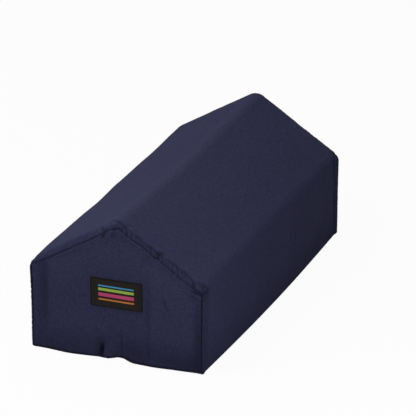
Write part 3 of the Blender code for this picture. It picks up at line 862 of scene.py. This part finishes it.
def plain_weave_group():
    """Over-and-under threads. Along each thread the height follows a sine whose sign swaps from thread to
    thread, across it a round profile, and the higher of warp and weft shows."""
    tree, net, given, out = new_group(
        "plain_weave",
        {"Threads": None, "Warp Pitch": 0.0005, "Weft Pitch": 0.0005},
        ("Height", "Warp Shows", "Thread Tone"),
    )
    split = net.node("ShaderNodeSeparateXYZ")
    net.link(given["Threads"], split.inputs[0])
    u = net.math("DIVIDE", split.outputs["X"], given["Warp Pitch"])
    v = net.math("DIVIDE", split.outputs["Y"], given["Weft Pitch"])
    warp_number, weft_number = net.math("FLOOR", u), net.math("FLOOR", v)

    def thread_height(along, across, number, half_turn):
        """Half of the wave along a thread and half of the round profile across it."""
        wave = net.math("SINE", net.math("MULTIPLY", net.math("ADD", along, number), half_turn))
        arch = net.math("SINE", net.math("MULTIPLY", net.math("FRACT", across), math.pi))
        return net.math("MULTIPLY", net.math("ADD", arch, wave), 0.5)

    warp = thread_height(v, u, warp_number, math.pi)
    weft = thread_height(u, v, weft_number, -math.pi)
    net.link(net.math("MAXIMUM", warp, weft), out["Height"])
    net.link(net.math("GREATER_THAN", warp, weft), out["Warp Shows"])
    warp_tone = net.node("ShaderNodeTexWhiteNoise", noise_dimensions="1D")
    weft_tone = net.node("ShaderNodeTexWhiteNoise", noise_dimensions="1D")
    net.link(warp_number, warp_tone.inputs["W"])
    net.link(net.math("ADD", weft_number, WEFT_TONE_OFFSET), weft_tone.inputs["W"])
    tone = net.math("ADD", warp_tone.outputs["Value"], weft_tone.outputs["Value"])
    net.link(net.math("MULTIPLY", tone, 0.5), out["Thread Tone"])
    return tree


def mottle_group():
    """Slow and fine unevenness of a dyed cloth, as two noises, in Object coordinates."""
    tree, net, given, out = new_group(
        "dye_mottle", {"Place": None, "Cloud Scale": 18.0, "Fleck Scale": 900.0}, ("Cloud", "Fleck")
    )
    for name, detail, roughness in (("Cloud", 3.0, 0.55), ("Fleck", 2.0, 0.6)):
        noise = net.node("ShaderNodeTexNoise", {"Detail": detail, "Roughness": roughness})
        net.link(given["Place"], noise.inputs["Vector"])
        net.link(given[name + " Scale"], noise.inputs["Scale"])
        net.link(noise.outputs["Fac"], out[name])
    return tree


def slub_group():
    """Thick and thin places in the yarn: noise drawn out along the warp, and other noise along the weft."""
    tree, net, given, out = new_group(
        "yarn_slubs",
        {"Threads": None, "Slub Width": 0.0009, "Slub Length": 0.011},
        ("Warp Slubs", "Weft Slubs"),
    )
    split = net.node("ShaderNodeSeparateXYZ")
    net.link(given["Threads"], split.inputs[0])
    noise_inputs = {"Scale": 1.0, "Detail": 2.0, "Roughness": 0.6}
    for name, wide, long in (("Warp Slubs", "X", "Y"), ("Weft Slubs", "Y", "X")):
        place = net.node("ShaderNodeCombineXYZ")
        net.link(net.math("DIVIDE", split.outputs[wide], given["Slub Width"]), place.inputs[0])
        net.link(net.math("DIVIDE", split.outputs[long], given["Slub Length"]), place.inputs[1])
        noise = net.node("ShaderNodeTexNoise", noise_inputs, noise_dimensions="2D")
        net.link(place.outputs[0], noise.inputs["Vector"])
        net.link(noise.outputs["Fac"], out[name])
    return tree


def use_group(net, tree, source, **values):
    """Places a node group in a material. Its first input reads a socket, and others get this material's
    values."""
    made = net.node("ShaderNodeGroup", values, node_tree=tree)
    net.link(source, made.inputs[0])
    return made.outputs


def new_material(name, **values):
    """A material, its net and its shader, with these values on the shader's own sockets."""
    material = bpy.data.materials.new(name)
    material.use_nodes = True
    shader = material.node_tree.nodes["Principled BSDF"]
    set_inputs(shader, values)
    return material, Net(material.node_tree), shader


def coordinates(net):
    """The thread coordinates of a piece, and its Object coordinates."""
    threads = net.node("ShaderNodeUVMap", uv_map="threads")
    return threads.outputs["UV"], net.node("ShaderNodeTexCoord").outputs["Object"]


def bump(net, shader, height, strength, distance):
    """Gives a shader its fine relief from a height."""
    relief = net.node("ShaderNodeBump", {"Strength": strength, "Distance": distance})
    net.link(height, relief.inputs["Height"])
    net.link(relief.outputs["Normal"], shader.inputs["Normal"])


def navy_cloth_material(weave, slubs, mottle):
    """Navy plain-woven cloth: two close blues by thread, uneven yarn, clouded dye, a painted highlight where
    it stands out and along the crest, painted shade in its seams, creases, thread gaps and near the floor,
    with a soft nap."""
    material, net, shader = new_material(
        "navy_cloth_cover",
        Sheen_Weight=0.05,
        Sheen_Roughness=0.5,
        Sheen_Tint=(0.50, 0.52, 0.90, 1.0),
        Specular_IOR_Level=0.12,
    )
    threads, place = coordinates(net)
    cloth = use_group(net, weave, threads, Warp_Pitch=WARP_PITCH, Weft_Pitch=WEFT_PITCH)
    yarn = use_group(net, slubs, threads, Slub_Width=0.0017, Slub_Length=0.009)
    dye = use_group(net, mottle, place, Cloud_Scale=24.0, Fleck_Scale=460.0)
    colour = net.mix(cloth["Warp Shows"], WEFT_NAVY, WARP_NAVY)
    colour = net.lay(colour, cloth["Thread Tone"], DEEP_THREAD)
    slub = net.math("ADD", yarn["Warp Slubs"], yarn["Weft Slubs"])
    mixed = net.math("MULTIPLY_ADD", slub, 0.5, dye["Fleck"])
    streak = net.math("MULTIPLY_ADD", net.math("SUBTRACT", mixed, 1.0), YARN_CONTRAST, YARN_SHARE)
    colour = net.mix(net.math("MAXIMUM", streak, 0.0), colour, THICK_YARN)
    colour = net.lay(colour, dye["Cloud"], DYE_CLOUD)
    relief_and_painted_light = net.node("ShaderNodeAttribute", attribute_name="relief_and_painted_light", attribute_type="GEOMETRY")
    # Painted highlight where the cloth stands out, painted shade in its hollows
    colour = net.lay(colour, net.over(relief_and_painted_light.outputs["Fac"], EVEN), RAISED_HIGHLIGHT)
    colour = net.lay(colour, net.over(EVEN, relief_and_painted_light.outputs["Fac"]), HOLLOW_SHADE)
    height = net.node("ShaderNodeSeparateXYZ")
    net.link(place, height.inputs[0])
    # Painted shade, darker towards the floor
    ramp = {"From Max": FLOOR_SHADE_HEIGHT, "To Min": 1.0, "To Max": 0.0}
    near_hem = net.node("ShaderNodeMapRange", ramp, interpolation_type="SMOOTHSTEP")
    net.link(height.outputs["Z"], near_hem.inputs["Value"])
    colour = net.lay(colour, near_hem.outputs["Result"], FLOOR_SHADE)
    # Painted shade in the gaps between threads
    gap = net.over(1.0, net.math("MULTIPLY", cloth["Height"], 0.5))
    net.link(net.lay(colour, gap, THREAD_GAP_SHADE), shader.inputs["Base Color"])
    net.link(net.math("MULTIPLY_ADD", dye["Fleck"], *NAVY_ROUGHNESS), shader.inputs["Roughness"])
    bump(net, shader, net.math("MULTIPLY_ADD", mixed, FUZZ, cloth["Height"]), *NAVY_BUMP)
    return material


def label_material(weave, mottle):
    """Close brown-black label weave with short plain stripes whose edges step from thread to thread, a black
    selvedge that holds a painted shadow along the top edge, and painted shade in the crease under the
    stitches and in the gaps between threads."""
    material, net, shader = new_material(
        "label_weave_ribbed", Sheen_Weight=0.04, Sheen_Roughness=0.5, Specular_IOR_Level=0.30
    )
    threads, place = coordinates(net)
    cloth = use_group(net, weave, threads, Warp_Pitch=LABEL_WARP_PITCH, Weft_Pitch=LABEL_WEFT_PITCH)
    dye = use_group(net, mottle, place, Cloud_Scale=60.0, Fleck_Scale=1800.0)
    split = net.node("ShaderNodeSeparateXYZ")
    net.link(threads, split.inputs[0])
    up, across = split.outputs["Y"], net.math("ABSOLUTE", split.outputs["X"])
    thread_number = net.math("FLOOR", net.math("DIVIDE", up, LABEL_WEFT_PITCH))
    stepped = net.math("MULTIPLY", thread_number, LABEL_WEFT_PITCH)
    colour = net.mix(cloth["Warp Shows"], LABEL_WEFT, LABEL_WARP)
    wide = net.math("LESS_THAN", across, STRIPE_HALF_WIDTH)
    covers = net.math("MULTIPLY_ADD", cloth["Warp Shows"], -WARP_LOSS, STRIPE_COVER)
    shown = net.math("MULTIPLY", wide, covers)
    for middle, half_height, stripe in LABEL_STRIPES:
        off = net.math("ABSOLUTE", net.math("SUBTRACT", stepped, middle))
        colour = net.mix(net.math("MULTIPLY", shown, net.math("LESS_THAN", off, half_height)), colour, stripe)
    ends = net.math("GREATER_THAN", across, SELVEDGE_ACROSS)
    top = net.math("GREATER_THAN", up, SELVEDGE_TOP)
    bottom = net.math("LESS_THAN", up, -SELVEDGE_BOTTOM)
    edges = net.math("MAXIMUM", ends, net.math("MAXIMUM", top, bottom))
    # Black selvedge, with a painted shadow along the top edge
    colour = net.lay(colour, edges, SELVEDGE_AND_SHADOW)
    off = net.math("ABSOLUTE", net.math("SUBTRACT", across, CREASE_ACROSS))
    # Painted shade in the crease under the stitches
    colour = net.lay(colour, net.math("LESS_THAN", off, CREASE_HALF_WIDTH), LABEL_CREASE_SHADE)
    # Painted shade in the gaps between threads
    net.link(net.lay(colour, net.over(1.0, cloth["Height"]), LABEL_GAP_SHADE), shader.inputs["Base Color"])
    net.link(net.math("MULTIPLY_ADD", dye["Fleck"], *LABEL_ROUGHNESS), shader.inputs["Roughness"])
    bump(net, shader, cloth["Height"], *LABEL_BUMP)
    return material


def thread_material(mottle):
    """Black sewing thread, a little shiny, with a fine twist from a fleck noise."""
    material, net, shader = new_material("black_sewing_thread", Sheen_Weight=0.1)
    place = net.node("ShaderNodeTexCoord").outputs["Object"]
    dye = use_group(net, mottle, place, Cloud_Scale=300.0, Fleck_Scale=4000.0)
    net.link(net.mix(dye["Fleck"], *THREAD_BLACKS), shader.inputs["Base Color"])
    net.link(net.math("MULTIPLY_ADD", dye["Cloud"], *THREAD_ROUGHNESS), shader.inputs["Roughness"])
    return material


# The label and its stitches


def on_front(across, up, out):
    """Points over the front panel at label coordinates, turned by the label's tilt, this far out from it."""
    x = LABEL_X + across * math.cos(LABEL_TILT) - up * math.sin(LABEL_TILT)
    z = LABEL_Z + across * math.sin(LABEL_TILT) + up * math.cos(LABEL_TILT)
    points = end_points(x, z, np.zeros_like(x), True)
    points[..., 1] -= out
    return points


def make_label():
    """The label as a closed slab about a middle surface: straight across, and round a half turn at each
    end to the turned-under part behind it."""
    half, turn = LABEL_WIDTH / 2, LABEL_TURN
    bend = np.linspace(0.0, math.pi, BEND_STEPS)
    under = np.linspace(LABEL_TURN_UNDER, 0.0, UNDER_STEPS)[:-1]
    right_x = np.concatenate([half - turn + turn * np.sin(bend)[1:], half - turn - under[::-1][1:]])
    right_out = np.concatenate([turn * np.cos(bend)[1:], np.full(len(under) - 1, -turn)])
    middle = np.linspace(-(half - turn), half - turn, LABEL_COLUMNS)
    x = np.concatenate([-right_x[::-1], middle, right_x])
    out = np.concatenate([right_out[::-1], np.full(len(middle), turn), right_out])
    lift = LABEL_CLOTH / 2 + turn + LABEL_GAP
    step = np.linalg.norm(np.diff(np.stack([x, out], -1), axis=0), axis=-1)
    along = np.concatenate([[0.0], np.cumsum(step)])
    along -= along[-1] / 2
    slope = np.gradient(np.stack([x, out], -1), axis=0)
    slope /= np.linalg.norm(slope, axis=-1, keepdims=True)
    side = np.stack([-slope[:, 1], slope[:, 0]], -1)
    up = np.linspace(-LABEL_HEIGHT / 2, LABEL_HEIGHT / 2, LABEL_ROWS)
    layers = []
    for sign in (1, -1):
        across = (x + sign * side[:, 0] * LABEL_CLOTH / 2)[:, None] + 0 * up
        raised = (out + sign * side[:, 1] * LABEL_CLOTH / 2)[:, None] + 0 * up
        pressed = STITCH_PRESS * bell(np.abs(across) - half + STITCH_INSET, STITCH_PRESS_REACH)
        layers.append(on_front(across, up[None, :] + 0 * across, raised + lift - pressed))
    count = len(x) * len(up)
    top = np.arange(count).reshape(len(x), len(up))
    bottom = top + count
    faces = [grid_faces(top), grid_faces(bottom)[:, ::-1]]
    for edge in (0, -1):
        pair = np.stack([top[edge], bottom[edge]])
        faces.append(grid_faces(pair)[:, :: 1 if edge == -1 else -1])
        pair = np.stack([top[:, edge], bottom[:, edge]])
        faces.append(grid_faces(pair)[:, :: 1 if edge == 0 else -1])
    faces = np.concatenate(faces)
    flat = np.stack(np.broadcast_arrays(along[:, None], up[None, :]), -1).reshape(-1, 2)
    uv = np.concatenate([flat, flat])[faces.ravel()]
    points = np.concatenate([layer.reshape(-1, 3) for layer in layers])
    return make_mesh("label_folded", points, faces, uv)


def make_stitches():
    """Straight stitches down both ends of the label: each a capsule that bows out of the cloth as a half
    sine and sinks into it at its ends."""
    count = int((LABEL_HEIGHT - STITCH_MARGIN) / STITCH_PITCH)
    starts = (np.arange(count) - (count - 1) / 2) * STITCH_PITCH
    share = np.linspace(0.0, 1.0, STITCH_RINGS)
    turn = np.arange(STITCH_SIDES) * math.tau / STITCH_SIDES
    full = np.clip(1 - (2 * share - 1) ** STITCH_BLUNTNESS, STITCH_TIP, 1.0)
    sides = np.array([-1.0, 1.0]) * (LABEL_WIDTH / 2 - STITCH_INSET)
    side, start, place, angle = np.meshgrid(sides, starts, share, turn, indexing="ij")
    ring = np.interp(place, share, STITCH_RADIUS * np.sqrt(full))
    wander = STITCH_WANDER * np.sin(WANDER_UP * start / STITCH_PITCH + side * WANDER_ACROSS)
    across = side + wander + ring * np.cos(angle)
    up = start + (place - 0.5) * STITCH_LENGTH
    middle = LABEL_CLOTH / 2 + 2 * LABEL_TURN + LABEL_GAP - STITCH_PRESS
    out = middle + ring * np.sin(angle) + STITCH_BOW * np.sin(math.pi * place) - STITCH_SINK
    points = on_front(across, up, out)
    index = np.arange(points[..., 0].size).reshape(place.shape)
    index = np.concatenate([index, index[..., :1]], -1)
    faces = [grid_faces(index)]
    for row, flip in ((0, 1), (-1, -1)):
        faces += [index[..., row, cap[::flip]].reshape(-1, 4) for cap in STITCH_CAPS]
    return make_mesh("label_stitches", points.reshape(-1, 3), np.concatenate(faces))


# The studio
FLOOR_FRONT, FLOOR_BACK, FLOOR_HALF_WIDTH = -8.0, 6.0, 9.0
FLOOR_BEND, BACKDROP_HEIGHT = 3.0, 6.0  # radius of the bend up, and how far the backdrop rises over it
FLOOR_STEPS, BEND_TURNS = 15, np.linspace(0.1, math.pi / 2, 12)
WORLD_LIGHT = 0.25
LIGHT_TARGET = Vector((0.0, 0.0, 0.05))
# Columns: name, place, size, and the light that it brings
SOFTBOXES = (
    ("left", (-2.3, 0.5, 1.3), 1.4, 0.185),
    ("near_top", (-0.35, -0.58, 1.2), 0.6, 0.36),
    ("near_right", (0.56, -0.52, 0.14), 0.3, 0.18),
    ("near_left", (-0.9, -1.1, 0.35), 0.5, 0.035),
    ("behind", (0.2, 2.6, 0.30), 0.9, 0.09),
)
CAMERA_AZIMUTH = math.radians(22.83)
CAMERA_ELEVATION = math.radians(23.93)
CAMERA_DISTANCE = 4.0453
CAMERA_ASIDE = (0.1064, 0.0958)  # how far the camera stands right of and above its target's axis
CAMERA_TARGET = Vector((0.0, FRONT_LIP, 0.0884))
CAMERA_LENS, CAMERA_SENSOR, CAMERA_CLIP = 302.9, 36.0, (0.1, 60.0)


def make_floor():
    """A pale floor that curves up into a backdrop well behind the pillow: a profile carried along X."""
    level = np.linspace(FLOOR_FRONT, FLOOR_BACK, FLOOR_STEPS)
    run = np.concatenate([level, FLOOR_BACK + FLOOR_BEND * np.sin(BEND_TURNS)])
    rise = np.concatenate([np.zeros_like(level), FLOOR_BEND * (1 - np.cos(BEND_TURNS))])
    run, rise = np.append(run, run[-1]), np.append(rise, rise[-1] + BACKDROP_HEIGHT)
    across = np.array([-FLOOR_HALF_WIDTH, FLOOR_HALF_WIDTH])
    points = np.stack(np.broadcast_arrays(across[None, :], run[:, None], rise[:, None]), -1).reshape(-1, 3)
    index = np.arange(len(run) * 2).reshape(len(run), 2)
    floor = make_mesh("studio_floor", points, grid_faces(index)[:, ::-1])
    floor.data.materials.append(floor_material())


def floor_material():
    """A pale studio floor: bright to the camera, with a soft shadow, and duller in the light that it
    throws back."""
    material, net, shader = new_material("pale_floor", Base_Color=(0.30, 0.30, 0.30, 1.0), Roughness=0.9)
    bright = net.node("ShaderNodeBsdfPrincipled", {
        "Base Color": (0.05, 0.05, 0.05, 1.0),
        "Roughness": 0.9,
        "Specular IOR Level": 0.0,
        "Emission Color": (1.0, 1.0, 1.0, 1.0),
        "Emission Strength": 0.95,
    })
    seen = net.node("ShaderNodeLightPath")
    either = net.node("ShaderNodeMixShader")
    net.link(seen.outputs["Is Camera Ray"], either.inputs[0])
    net.link(shader.outputs[0], either.inputs[1])
    net.link(bright.outputs[0], either.inputs[2])
    net.link(either.outputs[0], net.tree.nodes["Material Output"].inputs["Surface"])
    return material


def softbox(name, place, size, strength):
    """A round softbox turned to the pillow's middle. Its power is pi squared, times its distance squared,
    times the light that it should bring there."""
    data = bpy.data.lights.new(name, "AREA")
    data.shape = "DISK"
    data.size = size
    data.energy = math.pi**2 * sum(p * p for p in place) * strength
    light = bpy.data.objects.new(name, data)
    bpy.context.scene.collection.objects.link(light)
    light.location = place
    light.rotation_euler = (LIGHT_TARGET - Vector(place)).to_track_quat("-Z", "Y").to_euler()
    light.visible_camera = False


def make_studio():
    """Soft light from all round and five softboxes: a large one high on the left, one over the front, one
    low on each side of the front, and one low behind."""
    world = bpy.data.worlds.new("soft_white")
    world.use_nodes = True
    background = {"Color": (1.0, 1.0, 1.0, 1.0), "Strength": WORLD_LIGHT}
    set_inputs(world.node_tree.nodes["Background"], background)
    bpy.context.scene.world = world
    for name, place, size, strength in SOFTBOXES:
        softbox(name, place, size, strength)
    bpy.context.scene.view_settings.view_transform = "Standard"
    bpy.context.scene.view_settings.look = "None"


def make_camera():
    """A long lens at the photograph's angle, moved aside without shift so that the pillow lies where it
    does there."""
    az, el = CAMERA_AZIMUTH, CAMERA_ELEVATION
    back = Vector((math.sin(az) * math.cos(el), -math.cos(az) * math.cos(el), math.sin(el)))
    right = Vector((math.cos(az), math.sin(az), 0.0))
    up = back.cross(right)
    data = bpy.data.cameras.new("photo_camera")
    data.sensor_width, data.lens = CAMERA_SENSOR, CAMERA_LENS
    data.clip_start, data.clip_end = CAMERA_CLIP
    camera = bpy.data.objects.new("photo_camera", data)
    bpy.context.scene.collection.objects.link(camera)
    placed = Matrix((right, up, back)).transposed().to_4x4()
    aside = right * CAMERA_ASIDE[0] + up * CAMERA_ASIDE[1]
    placed.translation = CAMERA_TARGET + back * CAMERA_DISTANCE + aside
    camera.matrix_world = placed
    bpy.context.scene.camera = camera


make_camera()
make_floor()
make_studio()

weave, slubs, mottle = plain_weave_group(), slub_group(), mottle_group()

cover = make_cover()
cover.data.materials.append(navy_cloth_material(weave, slubs, mottle))
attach(cover, "root")
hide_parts("filled_cushion", "front_end_panel", "back_end_panel")

label = make_label()
label.data.materials.append(label_material(weave, mottle))
stitches = make_stitches()
stitches.data.materials.append(thread_material(mottle))
for piece in (label, stitches):
    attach(piece, "root")
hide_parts("woven_label")
